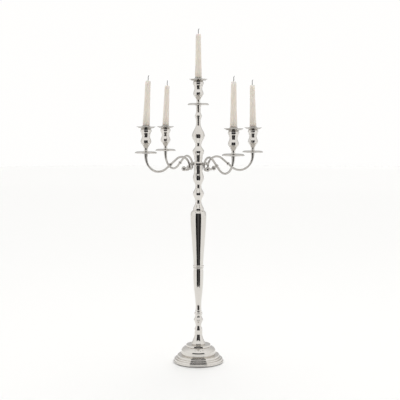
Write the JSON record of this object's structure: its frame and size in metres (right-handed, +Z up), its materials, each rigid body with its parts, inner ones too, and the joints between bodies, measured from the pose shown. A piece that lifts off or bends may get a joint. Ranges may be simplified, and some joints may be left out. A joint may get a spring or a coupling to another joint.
{
  "type": "candelabra",
  "caption": "Tall standing candelabra: stepped round foot, turned baluster column, and S-curved arms that carry cups with drip plates, a raised centre cup and taper candles.",
  "frame": {"origin": "on the column's axis, at the underside of the felt pad where it meets the table", "axes": "+Z up along the column, +X nearly along the right arm, +Y nearly along the back arm"},
  "size_m": [0.5097, 0.5116, 1.1741],
  "materials": {
    "nickel": "bright polished nickel plate over turned and cast aluminium",
    "steel": "zinc-plated threaded rod, nuts, washer and studs",
    "wax": "smooth warm-ivory candle wax with a soft satin sheen",
    "wick": "braided cotton, charred at its free end",
    "felt": "dark grey-green wool felt"
  },
  "bodies": {
    "root": {"arm_back": "nickel", "arm_front": "nickel", "arm_left": "nickel", "arm_right": "nickel", "arm_studs": "steel", "ball_knop": "nickel", "bell_stem": "nickel", "bulb_knop": "nickel", "collar_knop": "nickel", "cup_back": "nickel", "cup_front": "nickel", "cup_left": "nickel", "cup_right": "nickel", "cup_studs": "steel", "cup_top": "nickel", "drop_knop": "nickel", "felt_pad": "felt", "foot": "nickel", "foot_nut": "steel", "foot_plate": "nickel", "foot_washer": "steel", "hub": "nickel", "lower_rod": "steel", "ring_knop": "nickel", "rod_coupler": "steel", "saucer_back": "nickel", "saucer_front": "nickel", "saucer_left": "nickel", "saucer_right": "nickel", "saucer_top": "nickel", "shoulder_bell": "nickel", "top_stem": "nickel", "upper_rod": "steel", "vase_collar": "nickel", "vase_lower": "nickel", "vase_upper": "nickel"},
    "nozzle_top": {"nozzle_top": "nickel"},
    "candle_top": {"candle_top": "wax", "wick_top": "wick"},
    "nozzle_right": {"nozzle_right": "nickel"},
    "candle_right": {"candle_right": "wax", "wick_right": "wick"},
    "nozzle_back": {"nozzle_back": "nickel"},
    "candle_back": {"candle_back": "wax", "wick_back": "wick"},
    "nozzle_left": {"nozzle_left": "nickel"},
    "candle_left": {"candle_left": "wax", "wick_left": "wick"},
    "nozzle_front": {"nozzle_front": "nickel"},
    "candle_front": {"candle_front": "wax", "wick_front": "wick"}
  },
  "joints": [
    {"name": "nozzle_top_lift", "type": "slide", "parent": "root", "child": "nozzle_top", "axis": [0, 0, 1], "range_m": [0, 0.03]},
    {"name": "candle_top_lift", "type": "slide", "parent": "nozzle_top", "child": "candle_top", "axis": [0, 0, 1], "range_m": [0, 0.045]},
    {"name": "nozzle_right_lift", "type": "slide", "parent": "root", "child": "nozzle_right", "axis": [0.0139, -0.0013, 0.9999], "range_m": [0, 0.03]},
    {"name": "candle_right_lift", "type": "slide", "parent": "nozzle_right", "child": "candle_right", "axis": [-0.0261, 0.0025, 0.9997], "range_m": [0, 0.045]},
    {"name": "nozzle_back_lift", "type": "slide", "parent": "root", "child": "nozzle_back", "axis": [0.0001, -0.0035, 1], "range_m": [0, 0.03]},
    {"name": "candle_back_lift", "type": "slide", "parent": "nozzle_back", "child": "candle_back", "axis": [0.0355, -0.0222, 0.9991], "range_m": [0, 0.045]},
    {"name": "nozzle_left_lift", "type": "slide", "parent": "root", "child": "nozzle_left", "axis": [0.0122, 0.0009, 0.9999], "range_m": [0, 0.03]},
    {"name": "candle_left_lift", "type": "slide", "parent": "nozzle_left", "child": "candle_left", "axis": [0.0557, 0.0039, 0.9984], "range_m": [0, 0.045]},
    {"name": "nozzle_front_lift", "type": "slide", "parent": "root", "child": "nozzle_front", "axis": [0, -0.0175, 0.9998], "range_m": [0, 0.03]},
    {"name": "candle_front_lift", "type": "slide", "parent": "nozzle_front", "child": "candle_front", "axis": [0, 0, 1], "range_m": [0, 0.045]}
  ]
}
